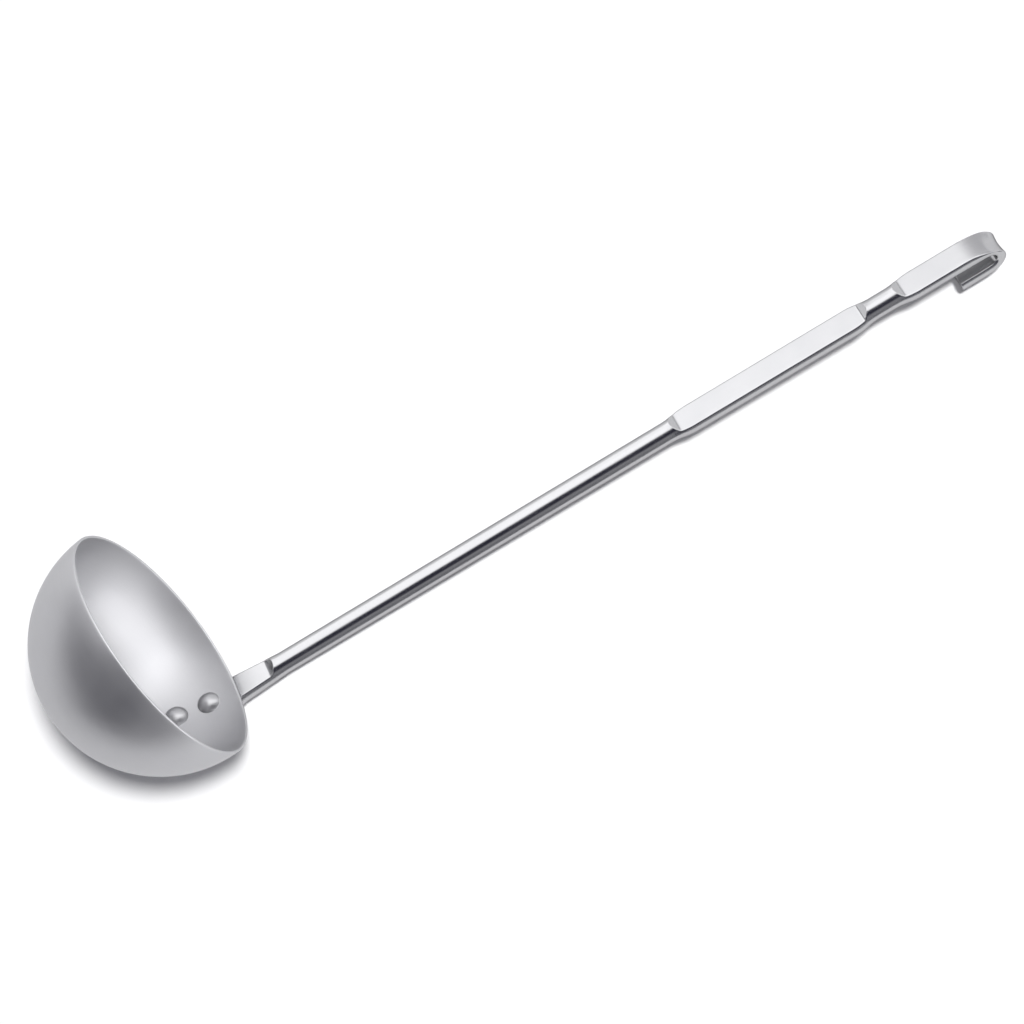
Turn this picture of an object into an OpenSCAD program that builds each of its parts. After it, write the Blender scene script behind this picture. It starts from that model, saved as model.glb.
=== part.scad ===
// Serving ladle: a half-ball bowl of thin sheet, riveted to a round rod handle
// that is pressed flat at its grip and ends in an open hanging hook.
// All sizes in millimetres.

/* [Bowl] */
// Outside diameter of the bowl at its rim
bowl_d = 90; // [76:1:110]
// Thickness of the bowl sheet
bowl_wall = 1; // [0.8:0.1:1.6]

/* [Handle rod] */
// Diameter of the round rod
rod_d = 8; // [7:0.1:9]
// Outward lean of the handle from the bowl's own axis, in degrees
lean = 8.9; // [5:0.1:14]
// Length of round rod between the base flat and the grip flat
rod_len = 166.9; // [120:0.1:220]
// Length of the round neck between the grip flat and the hook
neck_len = 16; // [13:0.5:30]

/* [Pressed flats] */
// Length of the base flat, from the rim up to its step
base_len = 13.5; // [11:0.1:20]
// Thickness of the base flat at its step
base_t = 4.8; // [4.2:0.1:5.4]
// Length of the grip flat
grip_len = 73.8; // [50:0.1:100]
// Width of the grip flat and of the hook
flat_w = 10.4; // [9.4:0.1:12]
// Thickness of the grip flat
flat_t = 4.4; // [3.6:0.1:5]
// Distance over which the sides swell from the rod to a flat
swell_len = 10; // [7:0.5:11]
// Slope of the step between a flat and the rod, in degrees
step_angle = 40; // [30:1:55]

/* [Tongue] */
// Width of the tongue, which holds the bowl
tongue_w = 11.6; // [10.4:0.1:12.4]
// Thickness of the tongue at the rim
tongue_t = 4; // [3.4:0.1:4.6]
// Thickness of the tongue at its free end
tongue_end_t = 2.4; // [2:0.1:3]
// Length of tongue left beyond the lower rivet
tongue_past = 9; // [7:0.5:12]

/* [Hook] */
// Length of hook flat between the neck and the middle of the curl
hook_lead = 30.9; // [26:0.1:40]
// Thickness of the hook
hook_t = 4; // [3.6:0.1:4.8]
// Clear gap inside the hook
hook_gap = 5.7; // [5:0.1:8]
// Length of the straight leg that comes back from the curl
hook_leg = 12; // [8:0.5:18]
// Radius of the long shoulder that leads into the curl
hook_top_r = 20; // [18:0.5:26]
// Length of that shoulder before the middle of the curl
hook_top_lead = 6; // [5:0.5:7]
// Radius of the shoulder that leads out of the curl
hook_low_r = 12; // [11:0.5:16]
// Length of that shoulder past the middle of the curl
hook_low_lead = 2.5; // [1:0.5:4]

/* [Rivets] */
// Diameter of a rivet's shank
rivet_d = 4; // [3:0.1:4.6]
// Diameter of a rivet's head, inside the bowl
head_d = 8.2; // [6.8:0.1:9]
// Height of a rivet's head
head_h = 2.4; // [1.6:0.1:3]
// Diameter of the flush tail, on the outside of the tongue
tail_d = 6; // [5:0.1:7]
// Distance along the sheet from the rim to the upper rivet
rivet_first = 11; // [9:0.5:14]
// Distance along the sheet between the two rivets
rivet_pitch = 12.2; // [11:0.1:16]

/* [Hidden] */
$fn = 96;
// Clearance between faces that bear on each other
seat_gap = 0.05;
// Length by which a cut runs past what it cuts
over = 3;
bowl_r = bowl_d / 2;
inner_r = bowl_r - bowl_wall;
rod_r = rod_d / 2;

// Polar angles below the rim, seen from the centre of the bowl
rivet_upper_angle = rivet_first / inner_r * 180 / PI;
rivet_lower_angle = (rivet_first + rivet_pitch) / inner_r * 180 / PI;
tongue_angle = rivet_lower_angle + tongue_past / bowl_r * 180 / PI;

// Radius of the ball that the tongue's seat fits
seat_r = bowl_r + seat_gap;
// Where the rod's axis passes the rim, from the bowl's axis
root_x = seat_r + tongue_t / 2;
// How far the tongue's sides stand out past the base flat's sides
tuck = 0.2;
// Growth of the base flat's thickness along its length
base_taper = (base_t - tongue_t) / base_len;

// Stations along the rod, from the rim
grip_start = base_len + rod_len;
grip_end = grip_start + grip_len;
hook_start = grip_end + neck_len;
curl_s = hook_start + hook_lead;
// Radius of the middle of the curl
curl_r = (hook_gap + hook_t) / 2;

// The tongue's outer face is an arc that comes nearer the bowl towards its end
tip_x = (seat_r + tongue_end_t) * cos(tongue_angle);
tip_z = (seat_r + tongue_end_t) * sin(tongue_angle);
outer_x = root_x + tongue_t / 2;
tongue_cx = (pow(outer_x, 2) - pow(tip_x, 2) - pow(tip_z, 2)) / (2 * (outer_x - tip_x));
tongue_r = outer_x - tongue_cx;

// Distance from the bowl's centre to the tongue's outer face, at a polar angle
function outer_at(angle) =
    tongue_cx * cos(angle) + sqrt(pow(tongue_r, 2) - pow(tongue_cx * sin(angle), 2));

// The ladle lies on a table on three places: the bowl's ball, an edge of the
// tongue, and a corner of the hook's leg. Each is first measured in the ladle's
// own frame, which has its origin at the bowl's centre and +Z up the bowl's axis.
// Half width of the flat outer face of the tongue
tongue_edge_y = sqrt(pow(tongue_w, 2) - pow(tongue_t, 2)) / 2;
// Half width of the flat faces of the hook
hook_edge_y = sqrt(pow(flat_w, 2) - pow(hook_t, 2)) / 2;
// The corner at the end of the hook's leg, along the rod and out from its axis
leg_s = curl_s - hook_leg;
leg_b = 2 * curl_r + hook_t / 2;
leg_x = root_x + leg_s * sin(lean) + leg_b * cos(lean);
leg_z = leg_s * cos(lean) - leg_b * sin(lean);

// Roll that sets the tongue's edge on the table with the ball, for a given dip
function roll_at(dip) =
    let (reach = tongue_cx * cos(dip) + tongue_r)
    atan2(tongue_edge_y, reach) + acos(bowl_r / norm([reach, tongue_edge_y]));

// Direction of the table from the bowl's centre, in the ladle's own frame
function down_at(dip) =
    let (roll = roll_at(dip))
    [cos(dip) * cos(roll), sin(roll), -sin(dip) * cos(roll)];

// How far the corner of the hook's leg would be under the table
function leg_under(dip) = down_at(dip) * [leg_x, hook_edge_y, leg_z] - bowl_r;

// The dip at which that corner just touches, by halving the range it lies in
function touching_dip(low, high, steps) =
    let (middle = (low + high) / 2)
    steps == 0 ? middle :
    leg_under(middle) > 0 ? touching_dip(middle, high, steps - 1) :
    touching_dip(low, middle, steps - 1);

down = down_at(touching_dip(0, 45, 40));
rest_roll = atan2(down.y, down.x);
rest_pitch = atan2(norm([down.x, down.y]), -down.z);
// Turn on the table that brings the handle parallel to +X
rest_yaw = atan2(
    sin(lean) * sin(rest_roll),
    sin(lean) * cos(rest_roll) * cos(rest_pitch) + cos(lean) * sin(rest_pitch)
);

// A direction of the ladle's own frame, turned as the ladle lies
function turned(v) =
    let (
        a = [v.x * cos(rest_roll) + v.y * sin(rest_roll), v.y * cos(rest_roll) - v.x * sin(rest_roll), v.z],
        b = [a.x * cos(rest_pitch) + a.z * sin(rest_pitch), a.y, a.z * cos(rest_pitch) - a.x * sin(rest_pitch)]
    )
    [b.x * cos(rest_yaw) - b.y * sin(rest_yaw), b.x * sin(rest_yaw) + b.y * cos(rest_yaw), b.z];

// How far the hook's nose reaches along +X from the bowl's centre
curl_centre = [
    root_x + curl_s * sin(lean) + curl_r * cos(lean),
    0,
    curl_s * cos(lean) - curl_r * sin(lean)
];
across_x = turned([0, 1, 0]).x;
nose_x = turned(curl_centre).x
    + (curl_r + hook_t / 2) * sqrt(1 - pow(across_x, 2))
    + hook_edge_y * abs(across_x);

// Draws about an axis across the ladle, turned up from the handle's side by an angle
module around(x, z, turn = 0) {
    translate([x, 0, z]) rotate([90, 0, 0]) rotate([0, 0, turn]) children();
}

// Turns +X to point from the bowl's centre to a place below the rim
module toward(angle) {
    rotate([0, angle, 0]) children();
}

// Draws along the rod: +Z runs to the hook and +X points away from the bowl
module along_rod() {
    translate([root_x, 0, 0]) rotate([0, lean, 0]) children();
}

// Section of a pressed flat: a disc with two sides pressed in
module flat_section(width, thick) {
    intersection() {
        circle(d = width);
        square([thick, width], center = true);
    }
}

// Half of a swell, from the rod's radius at z = 0 to a flat's at z = swell_len
module swell_profile() {
    rise = flat_w / 2 - rod_r;
    half = swell_len / 2;
    arc_r = (pow(half, 2) + pow(rise / 2, 2)) / rise;
    difference() {
        square([rod_r + rise / 2, half]);
        translate([rod_r + arc_r, 0]) circle(r = arc_r);
    }
    translate([0, half]) intersection() {
        square([flat_w / 2, half]);
        translate([flat_w / 2 - arc_r, half]) circle(r = arc_r);
    }
}

// Outline of the handle before it is pressed, as a turned profile
module blank_profile() {
    half = swell_len / 2;
    foot_end = base_len + half;
    polygon([[0, -over], [tongue_w / 2 - tuck, -over], [rod_r, foot_end], [0, foot_end]]);
    translate([0, foot_end]) square([rod_r, grip_start - half - foot_end]);
    translate([0, grip_start - half]) swell_profile();
    translate([0, grip_start + half]) square([flat_w / 2, grip_len - swell_len]);
    translate([0, grip_end + half]) mirror([0, 1]) swell_profile();
    translate([0, grip_end + half]) square([rod_r, neck_len - swell_len]);
    translate([0, hook_start - half]) swell_profile();
    translate([0, hook_start + half]) square([flat_w / 2, hook_lead - half]);
}

// What the press takes off one side between two stations, with a step at each end
module press(start, end, thick_start, thick_end) {
    deep = tongue_w;
    run = deep / tan(step_angle);
    rotate([90, 0, 0]) linear_extrude(2 * tongue_w, center = true)
        polygon([
            [thick_start / 2, start],
            [thick_end / 2, end],
            [thick_end / 2 + deep, end + run],
            [thick_start / 2 + deep, start - run]
        ]);
}

module pressed_rod() {
    difference() {
        rotate_extrude() blank_profile();
        for (side = [0, 180]) rotate([0, 0, side]) {
            press(-2 * over, base_len, tongue_t - 2 * base_taper * over, base_t);
            press(grip_start, grip_end, flat_t, flat_t);
            press(hook_start, curl_s + over, hook_t, hook_t);
        }
    }
}

// The curl and the leg that comes back from it
module curl() {
    around(curl_r, curl_s) rotate_extrude(angle = 180)
        translate([curl_r, 0]) flat_section(flat_w, hook_t);
    translate([2 * curl_r, 0, curl_s - hook_leg])
        linear_extrude(hook_leg) flat_section(flat_w, hook_t);
}

// The whole length of stock, with long shoulders that draw the curl to a nose
module stock() {
    difference() {
        union() {
            pressed_rod();
            curl();
        }
        shoulder(-hook_t / 2, hook_top_r, hook_top_lead, 1);
        shoulder(2 * curl_r + hook_t / 2, hook_low_r, hook_low_lead, -1);
    }
}

// Everything outside a long arc that leaves a face of the hook at a slight angle
module shoulder(face, radius, lead, side) {
    entry = 5;
    centre_s = curl_s - lead - radius * sin(entry);
    centre_b = face + side * radius * cos(entry);
    difference() {
        translate([curl_r - 2 * radius, -flat_w, curl_s - lead])
            cube([4 * radius, 2 * flat_w, 2 * radius]);
        around(centre_b, centre_s) cylinder(r = radius, h = 4 * flat_w, center = true);
    }
}

// The strip that follows the bowl, with a round end; its top is buried in the base flat
module tongue() {
    end_r = tongue_w / 2 * 1.15;
    end_angle = tongue_angle - end_r / bowl_r * 180 / PI;
    above = 4;
    deep = tongue_t + 1;
    difference() {
        around(tongue_cx, 0, -tongue_angle - over)
            rotate_extrude(angle = tongue_angle + over + above)
                intersection() {
                    translate([tongue_r - tongue_t / 2, 0]) circle(d = tongue_w);
                    translate([tongue_r - deep, -tongue_w / 2]) square([deep, tongue_w]);
                }
        translate([seat_r, -tongue_w, -tongue_t / 12]) rotate([0, -25, 0])
            translate([-tongue_w, 0, 0]) cube([3 * tongue_w, 2 * tongue_w, tongue_w]);
        toward(end_angle) difference() {
            translate([0, -tongue_w, -2 * tongue_w]) cube([2 * bowl_r, 2 * tongue_w, 2 * tongue_w]);
            rotate([0, 90, 0]) cylinder(r = end_r, h = 2 * bowl_r);
        }
    }
}

// Bore for a rivet at a polar angle, sunk from the outside for its tail
module rivet_bore(angle) {
    sink = (tail_d - rivet_d) / 2;
    toward(angle) rotate([0, 90, 0]) {
        cylinder(d = rivet_d + 2 * seat_gap, h = 2 * bowl_r);
        translate([0, 0, outer_at(angle) - sink]) cylinder(
            d1 = rivet_d + 2 * seat_gap,
            d2 = rivet_d + 2 * seat_gap + 4 * sink,
            h = 2 * sink
        );
    }
}

// Half of a rivet's section, with its axis along +Y and the bowl's centre at the origin
module rivet_profile(angle) {
    sink = (tail_d - rivet_d) / 2;
    rim_y = sqrt(pow(inner_r, 2) - pow(head_d / 2, 2));
    dome_h = head_h - (inner_r - rim_y);
    dome_r = (pow(head_d / 2, 2) + pow(dome_h, 2)) / (2 * dome_h);
    tail = outer_at(angle);
    intersection() {
        translate([0, inner_r - head_h + dome_r]) circle(r = dome_r);
        circle(r = inner_r - seat_gap);
        translate([0, inner_r / 2]) square([head_d, inner_r]);
    }
    translate([0, inner_r - head_h / 2]) square([rivet_d / 2, tail + over - inner_r + head_h / 2]);
    polygon([[0, tail - sink], [rivet_d / 2, tail - sink], [tail_d / 2 + sink, tail + sink], [0, tail + sink]]);
}

// Domed head inside the bowl, shank through the sheet and tongue, flush tail outside
module rivet(angle) {
    intersection() {
        toward(angle) rotate([0, 90, 0]) rotate_extrude() rivet_profile(angle);
        around(tongue_cx, 0) cylinder(r = tongue_r, h = 2 * tongue_w, center = true);
    }
}

// Half a ball of thin sheet, with a rounded lip
module shell() {
    rotate_extrude() {
        intersection() {
            difference() {
                circle(r = bowl_r);
                circle(r = inner_r);
            }
            translate([0, -bowl_r]) square(bowl_r);
        }
        intersection() {
            translate([bowl_r - bowl_wall / 2, 0]) circle(d = bowl_wall);
            translate([inner_r, 0]) square(bowl_wall);
        }
    }
}

// Lays the ladle on the table as it comes to rest, centred over the origin
module in_rest() {
    translate([(bowl_r - nose_x) / 2, 0, bowl_r])
        rotate([0, 0, rest_yaw]) rotate([0, rest_pitch, 0]) rotate([0, 0, -rest_roll]) children();
}

module bowl() {
    color("silver") in_rest() difference() {
        shell();
        rivet_bore(rivet_upper_angle);
        rivet_bore(rivet_lower_angle);
    }
}

module handle() {
    color("gainsboro") in_rest() difference() {
        union() {
            along_rod() stock();
            tongue();
        }
        sphere(r = seat_r);
        rivet_bore(rivet_upper_angle);
        rivet_bore(rivet_lower_angle);
    }
}

module rivet_upper() {
    color("lightsteelblue") in_rest() rivet(rivet_upper_angle);
}

module rivet_lower() {
    color("lightsteelblue") in_rest() rivet(rivet_lower_angle);
}

bowl();
handle();
rivet_upper();
rivet_lower();
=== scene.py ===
import math

import bpy
import numpy as np
from mathutils import Matrix, Vector


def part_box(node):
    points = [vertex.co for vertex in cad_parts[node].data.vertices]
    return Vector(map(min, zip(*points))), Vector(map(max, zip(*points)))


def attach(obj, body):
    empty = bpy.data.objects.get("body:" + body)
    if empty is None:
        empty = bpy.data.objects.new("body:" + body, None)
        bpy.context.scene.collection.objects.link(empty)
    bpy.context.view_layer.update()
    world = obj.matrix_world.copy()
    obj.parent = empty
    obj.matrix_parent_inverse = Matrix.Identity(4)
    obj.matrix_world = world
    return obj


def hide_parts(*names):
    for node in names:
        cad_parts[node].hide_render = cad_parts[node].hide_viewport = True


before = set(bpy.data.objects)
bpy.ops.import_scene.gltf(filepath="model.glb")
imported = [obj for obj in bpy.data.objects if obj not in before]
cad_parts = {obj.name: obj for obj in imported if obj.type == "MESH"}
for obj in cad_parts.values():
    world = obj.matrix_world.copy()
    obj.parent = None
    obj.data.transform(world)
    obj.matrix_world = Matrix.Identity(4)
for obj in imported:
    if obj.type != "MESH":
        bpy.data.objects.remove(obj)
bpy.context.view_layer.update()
print("frame loaded")

mm = 0.001

# Sizes in millimetres, in the ladle's own frame: the origin is the middle of the bowl's ball,
# z runs up the bowl's axis, x towards the handle and y across
bowl = {
    "radius": 45.0,
    "wall": 1.0,
    "seatGap": 0.05,            # between the bowl and the tongue
    "turns": 288,
    "ringsDown": 84,
    "lipSteps": 10,
    "crease": 60,               # in degrees: sharper edges are not shaded smooth
}

handle = {
    "lean": math.radians(8.9),
    "rodRadius": 4.0,
    "rodLength": 166.9,
    "neckLength": 16.0,
    "quarterPoints": 22,        # round a quarter of the section
    "flatShare": 0.2,           # the share of them on half a flat
    "cornerShare": 0.45,        # and on its rounded corner
    "flatBlend": 2.0,           # the narrower half a flat is than this, the more evenly they lie
    "crease": 38,
    "anchor": 60.0,             # a place on the straight rod, from which the middle line is laid
    "cornerRadius": 1.0,        # rounding that polishing leaves along the flats
    "cornerLimit": 0.6,         # and the most of the half thickness that it takes
    "swellLength": 10.0,        # how long the rod takes to widen into a flat
    "stepSlope": math.tan(math.radians(40)),
    "stepSoftness": 0.34,       # how far the steps are softened lengthways
    # the tongue lies on the bowl, and bends over at the rim
    "tongueWidth": 11.6,
    "tongueThickness": 4.0,
    "tongueEndThickness": 2.4,
    "tonguePast": 9.0,          # how far it goes on past the lower rivet
    "tongueRound": 1.15,        # radius of its end, to half its width
    "tongueFade": (-2.5, 1.0),  # where its width gives way to the base's
    "seatStock": 1.2,           # spare stock below it, which the bowl's curve takes off
    "seatFade": (-4.0, -0.5),
    "bendHalf": 2.0,            # half the length of the bend
    # the base is pressed flat
    "baseLength": 13.5,
    "baseThickness": 4.8,
    "baseTilt": 0.18,           # its inner face is pressed a little thinner at its far end
    "baseFade": (-1.5, 0.6),    # where that face begins
    "baseStop": 1.0,            # and how long it takes to end
    "coneStart": -3.0,          # from here its sides narrow to the rod
    "coneInset": 0.2,
    # the grip
    "gripLength": 73.8,
    "flatWidth": 10.4,
    "flatThickness": 4.4,
    # the hook is a third flat, curled over with two shoulders of different radius
    "hookLead": 30.9,
    "hookThickness": 4.0,
    "hookGap": 5.7,
    "hookLeg": 12.0,
    "legEdge": 0.35,            # rounding of the leg's sawn end
    "legEdgeSteps": 6,
    "curlEase": 1.0,            # how gradually the curl begins and ends
    "curlLead": 4.0,            # how far before it the strip is already drawn over a little
    "curlLeadShare": 0.22,
    "curlBack": 0.12,           # keeps the eased curl within the length of the stock
    "curlSearch": (0.8, 1.1),   # limits of the eased curl's radius, to the plain one's
    "curlZone": 14.0,           # how far before the curl the shoulders are looked for
    "topShoulder": 20.0,
    "topShoulderLead": 6.0,
    "lowShoulder": 12.0,
    "lowShoulderLead": 2.5,
    "shoulderEntry": math.radians(5),
    "shoulderEase": 1.4,        # how gradually the shoulders begin
    "saddle": 0.5,              # dip across the outside of the curl, left by the bending
    "saddleWidth": 0.92,        # to the strip's
    "saddleStart": (-1, 5),     # where it deepens, from the start of the curl
    "saddleEnd": (-3, 2),       # and where it runs out, from its end
}

rivet = {
    "headRadius": 4.1,
    "headHeight": 2.4,
    "headSteps": 24,
    "flare": 0.28,              # fillet where the head meets the sheet
    "flareRise": 0.06,
    "flareSteps": 4,
    "sunk": 0.02,               # how far the fillet's edge goes into the sheet
    "shankRadius": 2.0,
    "shankSpan": (0.2, 2.6),
    "tailRadius": 3.0,
    "tailProud": 0.05,
    "tailDepth": 0.4,
    "tailRings": (0.4, 1.0, 1.7, 2.3),
    "tailEdge": ((0.18, 0.0), (0.05, 0.02), (0.0, 0.07)),   # how far inwards and down
    "first": 11.0,              # from the rim
    "pitch": 12.2,
    "turns": 72,
    "crease": 50,
}

innerRadius = bowl["radius"] - bowl["wall"]
seatRadius = bowl["radius"] + bowl["seatGap"]
rootX = seatRadius + handle["tongueThickness"] / 2
upperAngle = rivet["first"] / innerRadius
lowerAngle = (rivet["first"] + rivet["pitch"]) / innerRadius
tongueAngle = lowerAngle + handle["tonguePast"] / bowl["radius"]

# The tongue's outer face is an arc about a point on the x axis
outerX = rootX + handle["tongueThickness"] / 2
tipReach = seatRadius + handle["tongueEndThickness"]
tipX, tipZ = tipReach * math.cos(tongueAngle), tipReach * math.sin(tongueAngle)
tongueCentre = (outerX ** 2 - tipX ** 2 - tipZ ** 2) / (2 * (outerX - tipX))
tongueRadius = outerX - tongueCentre
tongueLine = tongueRadius - handle["tongueThickness"] / 2

# Places along the rod, from the rim
baseEnd = handle["baseLength"]
gripStart = baseEnd + handle["rodLength"]
gripEnd = gripStart + handle["gripLength"]
hookStart = gripEnd + handle["neckLength"]
curlStart = hookStart + handle["hookLead"]
curlRadius = (handle["hookGap"] + handle["hookThickness"]) / 2
curlEnd = curlStart + math.pi * curlRadius
legEnd = curlEnd + handle["hookLeg"]


def halfFace(width, thickness):
    # half the width of the flat faces of a disc with two sides pressed in
    return math.sqrt(width ** 2 - thickness ** 2) / 2


def layDown():
    # The ladle lies on the ball, an edge of the tongue and a corner of the hook's leg
    sinLean, cosLean = math.sin(handle["lean"]), math.cos(handle["lean"])
    legS = curlStart - handle["hookLeg"]
    legB = 2 * curlRadius + handle["hookThickness"] / 2
    hookEdge = halfFace(handle["flatWidth"], handle["hookThickness"])
    tongueEdge = halfFace(handle["tongueWidth"], handle["tongueThickness"])
    corner = Vector((rootX + legS * sinLean + legB * cosLean, hookEdge,
                     legS * cosLean - legB * sinLean))

    def downAt(dip):
        reach = tongueCentre * math.cos(dip) + tongueRadius
        touch = math.acos(bowl["radius"] / math.hypot(reach, tongueEdge))
        roll = math.atan2(tongueEdge, reach) + touch
        return Vector((math.cos(dip) * math.cos(roll), math.sin(roll),
                       -math.sin(dip) * math.cos(roll)))

    low, high = 0.0, math.radians(45)
    for _ in range(50):         # halves the span until it is fine enough
        middle = (low + high) / 2
        if downAt(middle).dot(corner) > bowl["radius"]:
            low = middle
        else:
            high = middle
    down = downAt(low)
    roll = math.atan2(down.y, down.x)
    pitch = math.atan2(math.hypot(down.x, down.y), -down.z)
    yaw = math.atan2(sinLean * math.sin(roll),
                     sinLean * math.cos(roll) * math.cos(pitch) + cosLean * math.sin(pitch))
    turn = (Matrix.Rotation(yaw, 3, "Z") @ Matrix.Rotation(pitch, 3, "Y")
            @ Matrix.Rotation(-roll, 3, "Z"))
    curl = Vector((rootX + curlStart * sinLean + curlRadius * cosLean, 0,
                   curlStart * cosLean - curlRadius * sinLean))
    acrossX = (turn @ Vector((0, 1, 0))).x
    nose = ((turn @ curl).x + hookEdge * abs(acrossX)
            + (curlRadius + handle["hookThickness"] / 2) * math.sqrt(1 - acrossX ** 2))
    place = Vector(((bowl["radius"] - nose) / 2, 0, bowl["radius"])) * mm
    return Matrix.Translation(place) @ turn.to_4x4()


ladleFrame = layDown()


def makePiece(name, points, faces, crease):
    # points are in millimetres in the ladle's own frame, and are laid on the table here
    turn, place = np.array(ladleFrame.to_3x3()), np.array(ladleFrame.translation)
    laid = np.array(points, dtype=float) * mm @ turn.T + place
    mesh = bpy.data.meshes.new(name)
    mesh.from_pydata([tuple(map(float, p)) for p in laid], [], faces)
    mesh.validate()
    mesh.shade_smooth()
    mesh.set_sharp_from_angle(angle=math.radians(crease))
    piece = bpy.data.objects.new(name, mesh)
    bpy.context.scene.collection.objects.link(piece)
    return piece


def ringFaces(ringCount, perRing, start=0):
    faces = []
    for ring in range(ringCount - 1):
        here = start + ring * perRing
        above = here + perRing
        for k in range(perRing):
            nextK = (k + 1) % perRing
            faces.append((here + k, here + nextK, above + nextK, above + k))
    return faces


def smoothStep(value, low, high):
    t = np.clip((value - low) / (high - low), 0, 1)
    return t * t * (3 - 2 * t)


# The bowl is one turned skin: down the outside, and back up the inside over a rounded lip
def buildBowl():
    wall, radius = bowl["wall"], bowl["radius"]
    profile = []
    for i in range(1, bowl["ringsDown"] + 1):
        a = math.pi / 2 * i / bowl["ringsDown"]
        profile.append((radius * math.sin(a), -radius * math.cos(a)))
    for i in range(1, bowl["lipSteps"]):
        a = math.pi * i / bowl["lipSteps"]
        profile.append((radius - wall / 2 + wall / 2 * math.cos(a), wall / 2 * math.sin(a)))
    for i in range(bowl["ringsDown"]):
        a = math.pi / 2 * (1 - i / bowl["ringsDown"])
        profile.append((innerRadius * math.sin(a), -innerRadius * math.cos(a)))
    turns = bowl["turns"]
    points = []
    for r, z in profile:
        for k in range(turns):
            a = 2 * math.pi * k / turns
            points.append((r * math.cos(a), r * math.sin(a), z))
    faces = ringFaces(len(profile), turns)
    underPole, innerPole = len(points), len(points) + 1
    points += [(0, 0, -radius), (0, 0, -innerRadius)]
    last = (len(profile) - 1) * turns
    for k in range(turns):
        nextK = (k + 1) % turns
        faces.append((underPole, nextK, k))
        faces.append((innerPole, last + k, last + nextK))
    return makePiece("bowlSheet", points, faces, bowl["crease"])


# Half the thickness of the strip at a place along it, before its width limits it
def pressedHalf(s):
    taper = (handle["baseThickness"] - handle["tongueThickness"]) / baseEnd
    base = (handle["tongueThickness"] + taper * np.clip(s, 0, baseEnd)) / 2
    half = base + np.maximum(s - baseEnd, 0) * handle["stepSlope"]
    for start, end, thickness in (
        (gripStart, gripEnd, handle["flatThickness"]),
        (hookStart, math.inf, handle["hookThickness"]),
    ):
        outside = np.maximum(np.maximum(start - s, s - end), 0)
        half = np.minimum(half, thickness / 2 + outside * handle["stepSlope"])
    return half


# Half the width of the strip before it is pressed
def blankHalf(s):
    rod, flat, swell = handle["rodRadius"], handle["flatWidth"] / 2, handle["swellLength"] / 2
    tongue = handle["tongueWidth"] / 2
    coneStart, coneEnd = handle["coneStart"], baseEnd + swell
    coneFoot = tongue - handle["coneInset"]
    cone = coneFoot + (rod - coneFoot) * (s - coneStart) / (coneEnd - coneStart)
    half = np.maximum(cone, rod)
    half = half + (tongue - half) * (1 - smoothStep(s, *handle["tongueFade"]))
    arc = (swell ** 2 + ((flat - rod) / 2) ** 2) / (flat - rod)
    gripMiddle = (gripStart + gripEnd) / 2
    for edge, side, active in (
        (gripStart, 1, (s > gripStart - swell) & (s <= gripMiddle)),
        (gripEnd, -1, s > gripMiddle),
        (hookStart, 1, s > hookStart - swell),
    ):
        t = (s - edge) * side
        rising = rod + arc - np.sqrt(arc ** 2 - np.clip(t + swell, 0, swell) ** 2)
        falling = flat - arc + np.sqrt(arc ** 2 - np.clip(swell - t, 0, swell) ** 2)
        half = np.where(active, np.where(t < 0, rising, falling), half)
    return half


# How far the outside of the curl reaches from a point of the middle line before a shoulder ends it
def shoulderReach(along, out, dirAlong, dirOut):
    reach = math.inf
    entry = handle["shoulderEntry"]
    half = handle["hookThickness"] / 2
    for radius, lead, face, side in (
        (handle["topShoulder"], handle["topShoulderLead"], -half, 1),
        (handle["lowShoulder"], handle["lowShoulderLead"], 2 * curlRadius + half, -1),
    ):
        centreAlong = curlStart - lead - radius * math.sin(entry)
        centreOut = face + side * radius * math.cos(entry)
        if along < curlStart - lead:
            continue
        dx, dy = along - centreAlong, out - centreOut
        b = dx * dirAlong + dy * dirOut
        c = dx * dx + dy * dy - radius ** 2
        reach = min(reach, -b + math.sqrt(max(b * b - c, 0)))
    return reach


# How far apart the handle's stations are, along each kind of stretch
spacing = {
    "tongue": 0.8,
    "bend": 0.25,
    "base": 0.8,
    "step": 0.16,
    "taper": 0.7,
    "swell": 0.5,
    "flatEnd": 0.6,
    "straight": 4.0,
    "arm": 1.2,
    "curl": 0.3,
    "leg": 1.0,
}


# The stations of the strip, close together where its shape changes
def stripStations():
    endRound = handle["tongueWidth"] / 2 * handle["tongueRound"]
    roundCentre = -(tongueAngle - endRound / bowl["radius"]) * tongueLine
    # how far from a flat's end the stretches change: off it, on it and well within it
    off, on, within = 3, 1, 6
    bendEnd, taperEnd, swellStart, curlNear = 3, 24, gripStart - 7, curlStart - 8
    firstTurn, endSteps = math.radians(87), 16
    stations = [roundCentre - endRound * math.sin(a) for a in np.linspace(firstTurn, 0, endSteps)]
    stations += list(np.arange(roundCentre + spacing["tongue"], -bendEnd, spacing["tongue"]))
    stations += list(np.arange(-bendEnd, bendEnd, spacing["bend"]))
    low = bendEnd
    for high, stretch in (
        (baseEnd - on, "base"), (baseEnd + off, "step"), (taperEnd, "taper"),
        (swellStart, "straight"), (gripStart - off, "swell"), (gripStart + on, "step"),
        (gripStart + within, "flatEnd"), (gripEnd - within, "straight"),
        (gripEnd - on, "flatEnd"), (gripEnd + off, "step"), (hookStart - off, "swell"),
        (hookStart + on, "step"), (hookStart + within, "flatEnd"), (curlNear, "arm"),
        (curlEnd + on, "curl"), (legEnd - handle["legEdge"], "leg"),
    ):
        count = max(2, round((high - low) / spacing[stretch]))
        stations += list(np.linspace(low, high, count, endpoint=False))
        low = high
    return np.array(stations), roundCentre, endRound


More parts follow.
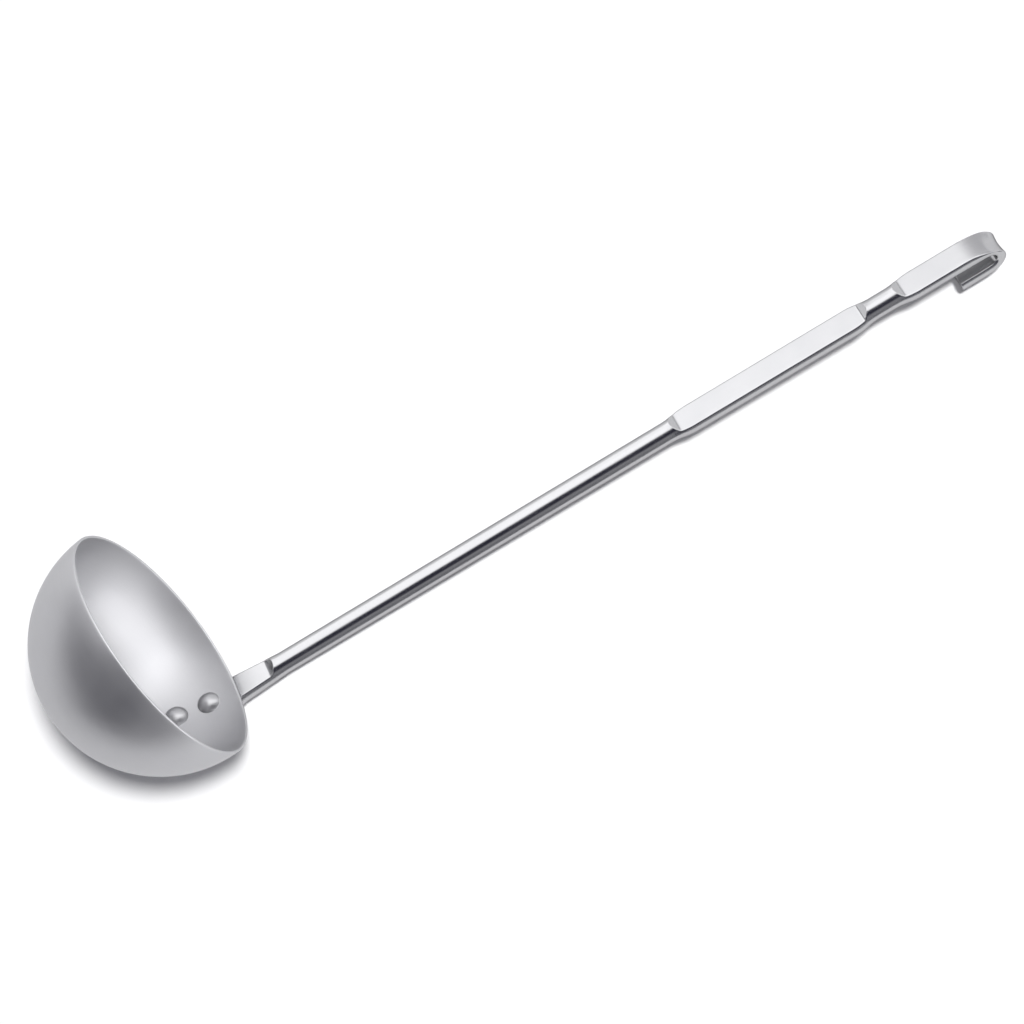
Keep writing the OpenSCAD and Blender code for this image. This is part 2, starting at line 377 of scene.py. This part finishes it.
# A quarter of the section: half of a flat, a rounded corner and an arc of the disc
def quarterSection(half, radius):
    half = min(half, radius)
    corner = min(handle["cornerRadius"], handle["cornerLimit"] * half)
    flat = math.sqrt(max((radius - corner) ** 2 - (half - corner) ** 2, 0))
    cornerTurn = math.atan2(flat, half - corner)
    cornerLength = corner * cornerTurn
    cornerEnd = flat + cornerLength
    total = cornerEnd + radius * (math.pi / 2 - cornerTurn)
    # where there is a flat, the points are not spread evenly
    count = handle["quarterPoints"]
    inFlat, inCorner = round(count * handle["flatShare"]), round(count * handle["cornerShare"])
    even = np.linspace(0, 1, count)
    spread = np.concatenate([
        np.linspace(0, flat, inFlat, endpoint=False),
        np.linspace(flat, cornerEnd, inCorner, endpoint=False),
        np.linspace(cornerEnd, total, count - inFlat - inCorner),
    ]) / total
    blend = min(flat / handle["flatBlend"], 1.0)
    points = []
    for p in ((1 - blend) * even + blend * spread) * total:
        if p <= flat:
            points.append((half, p))
        elif p <= cornerEnd:
            a = (p - flat) / corner
            points.append((half - corner + corner * math.cos(a), flat + corner * math.sin(a)))
        else:
            a = cornerTurn + (p - flat - cornerLength) / radius
            points.append((radius * math.cos(a), radius * math.sin(a)))
    return np.array(points)


# A whole ring of the section, with its own thickness on each side of the middle line: outwards is
# the way that the tongue's outer face looks, and inwards is towards the bowl
def wholeSection(outHalf, inHalf, radius):
    outer = quarterSection(outHalf, radius)
    inner = quarterSection(inHalf, radius) * (-1, 1)
    up = np.vstack([outer, inner[::-1][1:]])
    return np.vstack([up, (up * (1, -1))[::-1][1:-1]])


fineStep = 0.02                 # spacing of the strip's middle line
nearStep = 0.1                  # spacing where the shoulders are looked for


def bellWeights(width, step):
    # weights that soften values a step apart, over a width in millimetres
    count = math.ceil(3 * width / step)
    weights = np.exp(-0.5 * (np.arange(-count, count + 1) * step / width) ** 2)
    return weights / weights.sum()


def soften(values, weights):
    return np.convolve(np.pad(values, len(weights) // 2, mode="edge"), weights, mode="valid")


# The strip's middle line: places along it, how far it leans at each, and where each is
def layLine(first):
    places = np.arange(first - 1, legEnd + 1, fineStep)
    bend, lean, anchor = handle["bendHalf"], handle["lean"], handle["anchor"]
    atRim = bend / tongueLine
    tilt = np.where(places < -bend, -places / tongueLine, lean)
    inBend = (places >= -bend) & (places < bend)
    tilt = np.where(inBend, atRim + (lean - atRim) * (places + bend) / (2 * bend), tilt)

    # the eased curl has the radius that still makes the hook's gap
    leadIn = bellWeights(handle["curlLead"], fineStep)
    easing = bellWeights(handle["curlEase"], fineStep)
    easing = np.pad(easing, (len(leadIn) - len(easing)) // 2)
    easing = handle["curlLeadShare"] * leadIn + (1 - handle["curlLeadShare"]) * easing
    middle = curlStart + math.pi * curlRadius / 2 - handle["curlBack"]
    tight, loose = (share * curlRadius for share in handle["curlSearch"])
    for _ in range(30):         # halves the span until it is fine enough
        arc = (tight + loose) / 2
        curled = lean + np.clip(math.pi / 2 + (places - middle) / arc, 0, math.pi)
        curled = soften(curled, easing)
        if np.sum(np.sin(curled - lean)[places > anchor]) * fineStep > 2 * curlRadius:
            loose = arc
        else:
            tight = arc
    tilt = np.where(places > anchor, curled, tilt)

    lineX = np.cumsum((np.sin(tilt[1:]) + np.sin(tilt[:-1])) * fineStep / 2)
    lineZ = np.cumsum((np.cos(tilt[1:]) + np.cos(tilt[:-1])) * fineStep / 2)
    lineX, lineZ = np.concatenate([[0], lineX]), np.concatenate([[0], lineZ])
    lineX += rootX + anchor * math.sin(lean) - np.interp(anchor, places, lineX)
    lineZ += anchor * math.cos(lean) - np.interp(anchor, places, lineZ)
    return places, tilt, lineX, lineZ


# Near the curl the shoulders limit the strip's inner half, with a soft start
def limitByShoulders(places, tilt, lineX, lineZ, thick):
    lean = handle["lean"]
    near = np.arange(curlStart - handle["curlZone"], legEnd, nearStep)
    x, z = np.interp(near, places, lineX) - rootX, np.interp(near, places, lineZ)
    along = x * math.sin(lean) + z * math.cos(lean)
    out = x * math.cos(lean) - z * math.sin(lean)
    turned = np.interp(near, places, tilt) - lean
    half = np.interp(near, places, thick)
    limited = np.array([min(h, shoulderReach(a, o, math.sin(t), -math.cos(t)))
                        for h, a, o, t in zip(half, along, out, turned)])
    return near, soften(limited, bellWeights(handle["shoulderEase"], nearStep))


# The strip's inner half from the tongue to the end of the base
def innerHalf(s, half):
    if s < 0:
        half += handle["seatStock"] * (1 - float(smoothStep(s, *handle["seatFade"])))
    if handle["baseFade"][0] < s < baseEnd:
        # the base's inner face runs level with the rod, and its outer face alone tapers
        short = (handle["baseThickness"] - handle["tongueThickness"]) / 2 * (1 - s / baseEnd)
        facing = handle["baseTilt"] * (1 - 2 * s / baseEnd)
        begun = smoothStep(s, *handle["baseFade"])
        ended = smoothStep(-s, -baseEnd, handle["baseStop"] - baseEnd)
        half += (short + facing) * float(begun * ended)
    return half


def dipSaddle(section, s, inHalf, radius):
    begun = smoothStep(s, *(curlStart + reach for reach in handle["saddleStart"]))
    ended = smoothStep(s, *(curlEnd + reach for reach in handle["saddleEnd"]))
    dip = handle["saddle"] * float(begun * (1 - ended))
    farSide = np.clip(-section[:, 0] / inHalf, 0, 1)
    across = section[:, 1] / (handle["saddleWidth"] * radius)
    section[:, 0] += dip * farSide * np.clip(1 - across ** 2, 0, 1)


def clearBowl(ring):
    # below the rim the strip lies on the bowl's outside
    reach = np.linalg.norm(ring, axis=1)
    inside = (reach < seatRadius) & (ring[:, 2] <= 0)
    ring[inside] *= (seatRadius / reach[inside])[:, None]
    # beside the rounded rim it keeps just clear of it
    lip = bowl["wall"] / 2
    beside = (ring[:, 2] > 0) & (ring[:, 2] < lip)
    rimReach = bowl["radius"] - lip + np.sqrt(np.maximum(lip ** 2 - ring[:, 2] ** 2, 0))
    rimReach += bowl["seatGap"]
    flatReach = np.hypot(ring[:, 0], ring[:, 1])
    beside &= flatReach < rimReach
    ring[beside, :2] *= (rimReach[beside] / flatReach[beside])[:, None]


# The handle is one strip of stock: tongue, bend, rod with its pressed flats, curl and leg
def buildHandle():
    stations, roundCentre, endRound = stripStations()
    places, tilt, lineX, lineZ = layLine(stations[0])
    thick = soften(pressedHalf(places), bellWeights(handle["stepSoftness"], fineStep))
    wide = blankHalf(places)
    near, nearHalf = limitByShoulders(places, tilt, lineX, lineZ, thick)

    plan = [(s, 0.0) for s in stations]
    edge = handle["legEdge"]
    for a in np.linspace(0, math.pi / 2, handle["legEdgeSteps"]):
        plan.append((legEnd - edge * (1 - math.sin(a)), edge * (1 - math.cos(a))))

    rings = []
    for s, inset in plan:
        half, radius = float(np.interp(s, places, thick)), float(np.interp(s, places, wide))
        inHalf = innerHalf(s, half)
        if s > curlStart - handle["curlZone"]:
            inHalf = float(np.interp(s, near, nearHalf))
        section = wholeSection(half - inset, inHalf - inset, radius - inset)
        dipSaddle(section, s, inHalf, radius)
        past = roundCentre - s
        if past > 0:            # the tongue's end is round
            section[:, 1] *= min(1, math.sqrt(max(endRound ** 2 - past ** 2, 0)) / radius)
        angle = float(np.interp(s, places, tilt))
        centre = np.array([np.interp(s, places, lineX), 0, np.interp(s, places, lineZ)])
        outward = np.array([math.cos(angle), 0, -math.sin(angle)])
        ring = centre + section[:, :1] * outward + section[:, 1:] * np.array([0, 1, 0])
        clearBowl(ring)
        rings.append(ring)
    perRing = len(rings[0])
    faces = ringFaces(len(rings), perRing)
    faces.append(tuple(range(perRing))[::-1])
    lastRing = (len(rings) - 1) * perRing
    faces.append(tuple(range(lastRing, lastRing + perRing)))
    print("handle rings", len(rings), "around", perRing)
    return makePiece("handleStock", np.vstack(rings), faces, handle["crease"])


# A rivet has a domed head inside the bowl, a shank, and a tail that is ground flush outside
def buildRivet(name, angle):
    radius, height, turns = rivet["headRadius"], rivet["headHeight"], rivet["turns"]
    rimHeight = math.sqrt(innerRadius ** 2 - radius ** 2)
    dome = height - (innerRadius - rimHeight)
    domeRadius = (radius ** 2 + dome ** 2) / (2 * dome)
    profile = []
    steps = rivet["headSteps"]
    for i in range(1, steps + 1):
        a = math.asin(radius / domeRadius) * i / steps
        profile.append((domeRadius * math.sin(a),
                        innerRadius - height + domeRadius * (1 - math.cos(a))))
    edgeRadius, steps = profile[-1][0], rivet["flareSteps"]
    for i in range(1, steps + 1):
        a = math.pi / 2 * i / steps
        r = edgeRadius + rivet["flare"] * (1 - math.cos(a))
        above = rivet["flareRise"] * (1 - math.sin(a))
        sunk = rivet["sunk"] if i == steps else 0.0
        profile.append((r, math.sqrt(innerRadius ** 2 - r ** 2) - above + sunk))
    profile += [(rivet["shankRadius"], innerRadius + depth) for depth in rivet["shankSpan"]]

    direction = np.array([math.cos(angle), 0, -math.sin(angle)])
    upSheet = np.array([math.sin(angle), 0, math.cos(angle)])
    across = np.array([0.0, 1.0, 0.0])
    around = [2 * math.pi * k / turns for k in range(turns)]
    points = [direction * h + (upSheet * math.cos(a) + across * math.sin(a)) * r
              for r, h in profile for a in around]
    faces = ringFaces(len(profile), turns)
    apex = len(points)
    points.append(direction * (innerRadius - height))
    for k in range(turns):
        faces.append((apex, (k + 1) % turns, k))
    lastRing = (len(profile) - 1) * turns
    faces.append(tuple(range(lastRing, lastRing + turns)))

    # the tail follows the curved outer face of the tongue
    outside = (tongueCentre * math.cos(angle)
               + math.sqrt(tongueRadius ** 2 - (tongueCentre * math.sin(angle)) ** 2))
    middle = direction * outside
    tailAngle = math.atan2(-middle[2], middle[0] - tongueCentre)
    tailStart = len(points)
    proud, size = rivet["tailProud"], rivet["tailRadius"]
    tailProfile = [(r, proud) for r in rivet["tailRings"]]
    tailProfile += [(size - inwards, proud - down) for inwards, down in rivet["tailEdge"]]
    tailProfile.append((size, -rivet["tailDepth"]))
    for r, lift in tailProfile:
        reach = tongueRadius + lift
        for a in around:
            here = tailAngle - r * math.cos(a) / tongueRadius
            points.append((tongueCentre + reach * math.cos(here), r * math.sin(a),
                           -reach * math.sin(here)))
    faces += [f[::-1] for f in ringFaces(len(tailProfile), turns, tailStart)]
    faces.append(tuple(range(tailStart, tailStart + turns)))
    lastTail = tailStart + (len(tailProfile) - 1) * turns
    faces.append(tuple(range(lastTail, lastTail + turns))[::-1])
    return makePiece(name, points, faces, rivet["crease"])


bowlSheet = buildBowl()
handleStock = buildHandle()
rivetUpper = buildRivet("rivetUpper", upperAngle)
rivetLower = buildRivet("rivetLower", lowerAngle)
for piece, node in ((bowlSheet, "bowl"), (handleStock, "handle"),
                    (rivetUpper, "rivet_upper"), (rivetLower, "rivet_lower")):
    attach(piece, "root")
    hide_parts(node)
    low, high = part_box(node)
    corners = np.array([v.co for v in piece.data.vertices])
    offLow, offHigh = (corners.min(0) - np.array(low)) / mm, (corners.max(0) - np.array(high)) / mm
    print(node, "box off by mm", offLow.round(2), offHigh.round(2))
print("pieces built")


# Small helpers for the node trees of the finishes and of the studio
class Wires:
    def __init__(self, tree):
        self.nodes, self.links = tree.nodes, tree.links

    def plug(self, source, socket):
        if isinstance(source, (int, float)):
            socket.default_value = source
        else:
            self.links.new(source, socket)

    def math(self, operation, first, second=0.0):
        node = self.nodes.new("ShaderNodeMath")
        node.operation = operation
        self.plug(first, node.inputs[0])
        self.plug(second, node.inputs[1])
        return node.outputs[0]

    def noise(self, vector, scale, detail, roughness=0.5):
        node = self.nodes.new("ShaderNodeTexNoise")
        node.inputs["Scale"].default_value = scale
        node.inputs["Detail"].default_value = detail
        node.inputs["Roughness"].default_value = roughness
        self.links.new(vector, node.inputs["Vector"])
        return node.outputs["Fac"]

    def spread(self, value, fromLow, fromHigh, toLow=0.0, toHigh=1.0, smooth=False):
        node = self.nodes.new("ShaderNodeMapRange")
        node.interpolation_type = "SMOOTHSTEP" if smooth else "LINEAR"
        for socket, number in (("From Min", fromLow), ("From Max", fromHigh),
                               ("To Min", toLow), ("To Max", toHigh)):
            node.inputs[socket].default_value = number
        self.links.new(value, node.inputs["Value"])
        return node.outputs["Result"]

    def tone(self, factor, darker, lighter):
        node = self.nodes.new("ShaderNodeMix")
        node.data_type = "RGBA"
        self.links.new(factor, node.inputs["Factor"])
        node.inputs["A"].default_value = (*darker, 1)
        node.inputs["B"].default_value = (*lighter, 1)
        return node.outputs["Result"]

    def bump(self, height, strength, distance, below=None):
        node = self.nodes.new("ShaderNodeBump")
        node.inputs["Strength"].default_value = strength
        node.inputs["Distance"].default_value = distance
        self.links.new(height, node.inputs["Height"])
        if below is not None:
            self.links.new(below, node.inputs["Normal"])
        return node.outputs["Normal"]

    def mapped(self, vector, place=(0, 0, 0), turn=(0, 0, 0), size=(1, 1, 1)):
        # undoes a placing: the result is the vector as seen from the placed frame
        node = self.nodes.new("ShaderNodeMapping")
        node.vector_type = "TEXTURE"
        node.inputs["Location"].default_value = place
        node.inputs["Rotation"].default_value = turn
        node.inputs["Scale"].default_value = size
        self.links.new(vector, node.inputs["Vector"])
        return node.outputs["Vector"]


noiseSpan = (0.3, 0.7)          # most of a noise's values lie between these


def startMetal(name, finish):
    material = bpy.data.materials.new(name)
    material.use_nodes = True
    wires = Wires(material.node_tree)
    shader = wires.nodes["Principled BSDF"]
    tint = finish["edgeTint"]
    shader.inputs["Metallic"].default_value = 1
    shader.inputs["Specular Tint"].default_value = (tint, tint, tint, 1)
    tabled = wires.nodes.new("ShaderNodeTexCoord").outputs["Object"]
    place = wires.mapped(tabled, tuple(ladleFrame.translation), tuple(ladleFrame.to_euler()))
    return material, wires, shader, place


def colourMetal(wires, shader, finish, broad, streaks):
    # the broad mottle changes the tone and the roughness, and the streaks the roughness
    mottle = wires.spread(broad, *noiseSpan)
    colour = wires.tone(mottle, finish["darker"], finish["lighter"])
    wires.links.new(colour, shader.inputs["Base Color"])
    dulling = wires.spread(broad, *noiseSpan, *finish["roughness"])
    streaking = wires.spread(streaks, *noiseSpan, -finish["streaking"], finish["streaking"])
    wires.links.new(wires.math("ADD", dulling, streaking), shader.inputs["Roughness"])


# Satin steel of the bowl: a fine even grain over faint rings from the spinning
satin = {
    "darker": (0.52, 0.52, 0.535),
    "lighter": (0.56, 0.56, 0.572),
    "edgeTint": 0.8,            # the lower, the darker the metal's edges
    "roughness": (0.42, 0.5),
    "streaking": 0.02,          # how much the rings change the roughness
    "mottle": {"scale": 38, "detail": 3},
    "grain": {"scale": 2600, "detail": 2, "roughness": 0.7},
    "rings": {"scale": 1900, "detail": 2, "roughness": 0.6},
    "grainBump": {"strength": 0.05, "distance": 0.0004},
    "ringBump": {"strength": 0.03, "distance": 0.0003},
}


def satinSteel():
    material, wires, shader, place = startMetal("satinSteel", satin)
    broad = wires.noise(place, **satin["mottle"])
    grain = wires.noise(place, **satin["grain"])
    parts = wires.nodes.new("ShaderNodeSeparateXYZ")
    wires.links.new(place, parts.inputs[0])
    x, y, z = parts.outputs
    fromAxis = wires.math("SQRT", wires.math("ADD", wires.math("MULTIPLY", x, x),
                                             wires.math("MULTIPLY", y, y)))
    ringPlace = wires.nodes.new("ShaderNodeCombineXYZ")
    wires.links.new(fromAxis, ringPlace.inputs["X"])
    wires.links.new(z, ringPlace.inputs["Y"])
    rings = wires.noise(ringPlace.outputs[0], **satin["rings"])
    colourMetal(wires, shader, satin, broad, rings)
    normal = wires.bump(rings, **satin["ringBump"])
    normal = wires.bump(grain, **satin["grainBump"], below=normal)
    wires.links.new(normal, shader.inputs["Normal"])
    return material


# Steel of the handle and of the rivets: fine polishing lines run along the rod
polished = {
    "darker": (0.49, 0.49, 0.5),
    "lighter": (0.53, 0.53, 0.538),
    "edgeTint": 0.15,
    "roughness": (0.2, 0.26),
    "lineBump": 0.04,
    "scuffBump": 0.03,
}
riveted = {
    "darker": (0.52, 0.52, 0.53),
    "lighter": (0.58, 0.58, 0.588),
    "edgeTint": 0.7,
    "roughness": (0.36, 0.42),
    "lineBump": 0.02,
    "scuffBump": 0.05,
}
# what the two have in common
lined = {
    "streaking": 0.02,
    "stretch": 40,              # how many times longer than wide the lines are
    "lines": {"scale": 2400, "detail": 3, "roughness": 0.6},
    "mottle": {"scale": 60, "detail": 3},
    "scuffs": {"scale": 900, "detail": 4, "roughness": 0.65},
    "bumpDistance": 0.0002,
}


def linedSteel(name, ownFinish):
    finish = {**lined, **ownFinish}
    material, wires, shader, place = startMetal(name, finish)
    alongRod = wires.mapped(place, turn=(0, handle["lean"], 0), size=(1, 1, finish["stretch"]))
    lines = wires.noise(alongRod, **finish["lines"])
    broad = wires.noise(place, **finish["mottle"])
    scuffs = wires.noise(place, **finish["scuffs"])
    colourMetal(wires, shader, finish, broad, lines)
    normal = wires.bump(lines, finish["lineBump"], finish["bumpDistance"])
    normal = wires.bump(scuffs, finish["scuffBump"], finish["bumpDistance"], normal)
    wires.links.new(normal, shader.inputs["Normal"])
    return material


bowlSheet.data.materials.append(satinSteel())
handleStock.data.materials.append(linedSteel("polishedSteel", polished))
rivetSteel = linedSteel("rivetSteel", riveted)
rivetUpper.data.materials.append(rivetSteel)
rivetLower.data.materials.append(rivetSteel)
print("materials made")

# The camera looks almost straight down. Its axes and its place are given from the ladle's own frame
camera = {
    "up": Vector((-0.3786, 0.7224, 0.5786)),
    "toward": Vector((-0.7861, -0.581, 0.211)),
    "offset": (119.17, 44.88, 980.0),   # from the bowl's middle: to the right, up and back
    "lens": 101.3,
    "sensor": 36,
    "clip": (0.05, 30),
}


def placeCamera():
    turn = ladleFrame.to_3x3()
    toward = (turn @ camera["toward"]).normalized()
    up = turn @ camera["up"]
    right = up.cross(toward).normalized()
    up = toward.cross(right)
    along, above, away = camera["offset"]
    data = bpy.data.cameras.new("camera")
    data.lens, data.sensor_width = camera["lens"], camera["sensor"]
    data.clip_start, data.clip_end = camera["clip"]
    view = bpy.data.objects.new("camera", data)
    bpy.context.scene.collection.objects.link(view)
    view.matrix_world = Matrix((right, up, toward)).transposed().to_4x4()
    view.matrix_world.translation = (ladleFrame.translation
                                     + (right * along + up * above + toward * away) * mm)
    bpy.context.scene.camera = view
    return right, up, toward


# The studio is set out from the camera's directions, and stays put when the view changes
tableRight, tableUp, overhead = placeCamera()
rodAlong = Vector((math.sin(handle["lean"]), 0, math.cos(handle["lean"])))
rodLine = (ladleFrame.to_3x3() @ rodAlong).normalized()
acrossRod = overhead.cross(rodLine).normalized()

# One lamp lights the table. It hangs high, so that the floor far off stays pale too
keyLamp = {
    "power": 373.5,
    "size": 1.02,
    "height": 5.94,             # above the bowl
    "up": 1.2,                  # towards the picture's top
    "right": 0.68,
    "aim": 0.05,                # how far along the rod from the middle of the table it points
}


def lightTable():
    data = bpy.data.lights.new("tableLight", "AREA")
    data.shape, data.size, data.energy = "DISK", keyLamp["size"], keyLamp["power"]
    lamp = bpy.data.objects.new("tableLight", data)
    bpy.context.scene.collection.objects.link(lamp)
    lamp.location = (ladleFrame.translation + overhead * keyLamp["height"]
                     + tableUp * keyLamp["up"] + tableRight * keyLamp["right"])
    away = lamp.location - rodLine * keyLamp["aim"]
    lamp.rotation_euler = away.to_track_quat("Z", "Y").to_euler()
    lamp.visible_camera = lamp.visible_glossy = False


# A long softbox across the rod shines into the bowl alone
bowlLamp = {
    "tone": 2.25,
    "width": 1.4,
    "height": 0.46,
    "away": 0.55,
    "angle": math.radians(-33),
    "slant": 0.4,
}


def lightBowl():
    data = bpy.data.lights.new("bowlLight", "AREA")
    data.shape, data.size, data.size_y = "RECTANGLE", bowlLamp["width"], bowlLamp["height"]
    data.energy = bowlLamp["tone"] * math.pi * data.size * data.size_y
    lamp = bpy.data.objects.new("bowlLight", data)
    bpy.context.scene.collection.objects.link(lamp)
    angle, slant = bowlLamp["angle"], bowlLamp["slant"]
    upright = overhead * math.cos(angle) + acrossRod * math.sin(angle)
    aim = rodLine * slant + upright * math.sqrt(1 - slant ** 2)
    wide = aim.cross(rodLine).normalized()
    lamp.matrix_world = Matrix((wide, aim.cross(wide), aim)).transposed().to_4x4()
    lamp.matrix_world.translation = ladleFrame.translation + aim * bowlLamp["away"]
    lamp.visible_camera = False
    lit = bpy.data.collections.new("litByBowlLight")
    lit.objects.link(bowlSheet)
    lamp.light_linking.receiver_collection = lit


def backgroundRays(wires):
    # 1 for rays by which the camera, or metal or glass, sees the background
    rays = wires.nodes.new("ShaderNodeLightPath").outputs
    direct = wires.math("MAXIMUM", rays["Is Camera Ray"], rays["Is Glossy Ray"])
    return wires.math("MAXIMUM", direct, rays["Is Transmission Ray"])


paleFloor = {
    "tone": 0.9,
    "roughness": 0.9,
    "glow": 0.06,
    "reach": 8.0,
}


def layFloor():
    reach, tone = paleFloor["reach"], paleFloor["tone"]
    mesh = bpy.data.meshes.new("paleFloor")
    mesh.from_pydata([(-reach, -reach, 0), (reach, -reach, 0), (reach, reach, 0),
                      (-reach, reach, 0)], [], [(0, 1, 2, 3)])
    floor = bpy.data.objects.new("paleFloor", mesh)
    bpy.context.scene.collection.objects.link(floor)
    material = bpy.data.materials.new("paleFloor")
    material.use_nodes = True
    wires = Wires(material.node_tree)
    shader = wires.nodes["Principled BSDF"]
    shader.inputs["Base Color"].default_value = (tone, tone, tone, 1)
    shader.inputs["Roughness"].default_value = paleFloor["roughness"]
    shader.inputs["Specular IOR Level"].default_value = 0.0
    shader.inputs["Emission Color"].default_value = (1, 1, 1, 1)
    glow = wires.math("MULTIPLY", backgroundRays(wires), paleFloor["glow"])
    wires.links.new(glow, shader.inputs["Emission Strength"])
    mesh.materials.append(material)


# The steel reflects a studio of softboxes, which are painted on the world one over another.
# Angles are in degrees round the rod's line, from straight overhead, and slants are how far a
# direction leans along the rod, from the bowl towards the hook. Both have soft edges
studio = {
    "grey": 0.38,
    "ambient": 0.12,            # what lights the floor and other dull surfaces
    "castBlue": 0.02,           # the gaps between the softboxes are slightly blue
    "softboxes": {
        "lowBelowRod": {
            "tone": 0.24, "angles": (-110, -54), "edge": 8,
            "slants": (-1.2, 1.2), "slantEdge": 0.1},
        "pastBowl": {
            "tone": 0.16, "angles": (-200, 200), "edge": 10,
            "slants": (-1.2, -0.46), "slantEdge": 0.1},
        "belowBowl": {
            "tone": 0.06, "angles": (-130, -40), "edge": 8,
            "slants": (-1.2, -0.3), "slantEdge": 0.08},
        "glowLeftOfBowl": {
            "tone": 1.60, "angles": (86, 200), "edge": 10,
            "slants": (-1.2, -0.60), "slantEdge": 0.1},
        "darkGapOverhead": {
            "tone": 0.04, "angles": (-32, 14), "edge": 8,
            "slants": (-0.6, 0.6), "slantEdge": 0.12},
        "mainSoftbox": {
            "tone": 1.90, "angles": (14, 100), "edge": 7,
            "slants": (-0.34, 1.6), "slantEdge": 0.07},
        "fadePastHook": {
            "tone": 0.75, "angles": (58, 130), "edge": 12,
            "slants": (0.21, 1.9), "slantEdge": 0.38},
    },
}


def surroundTable():
    world = bpy.data.worlds.new("studio")
    bpy.context.scene.world = world
    world.use_nodes = True
    wires = Wires(world.node_tree)
    direction = wires.nodes.new("ShaderNodeTexCoord").outputs["Generated"]

    def leanTo(axis):
        node = wires.nodes.new("ShaderNodeVectorMath")
        node.operation = "DOT_PRODUCT"
        node.inputs[1].default_value = axis
        wires.links.new(direction, node.inputs[0])
        return node.outputs["Value"]

    def window(value, low, high, edge):
        rise = wires.spread(value, low - edge, low + edge, smooth=True)
        fall = wires.spread(value, high - edge, high + edge, 1.0, 0.0, smooth=True)
        return wires.math("MULTIPLY", rise, fall)

    def blend(level, other, share):
        kept = wires.math("MULTIPLY", level, wires.math("SUBTRACT", 1.0, share))
        return wires.math("ADD", kept, wires.math("MULTIPLY", share, other))

    angle = wires.math("ARCTAN2", leanTo(acrossRod), leanTo(overhead))
    slant = leanTo(rodLine)
    level = studio["grey"]
    for box in studio["softboxes"].values():
        low, high = (math.radians(a) for a in box["angles"])
        share = wires.math("MULTIPLY", window(angle, low, high, math.radians(box["edge"])),
                           window(slant, *box["slants"], box["slantEdge"]))
        level = blend(level, box["tone"], share)
    level = blend(studio["ambient"], level, backgroundRays(wires))
    colour = wires.nodes.new("ShaderNodeCombineColor")
    wires.links.new(level, colour.inputs["Red"])
    wires.links.new(level, colour.inputs["Green"])
    wires.links.new(wires.math("ADD", level, studio["castBlue"]), colour.inputs["Blue"])
    wires.links.new(colour.outputs["Color"], wires.nodes["Background"].inputs["Color"])


lightTable()
lightBowl()
layFloor()
surroundTable()
bpy.context.scene.view_settings.view_transform = "Standard"
print("studio lit")
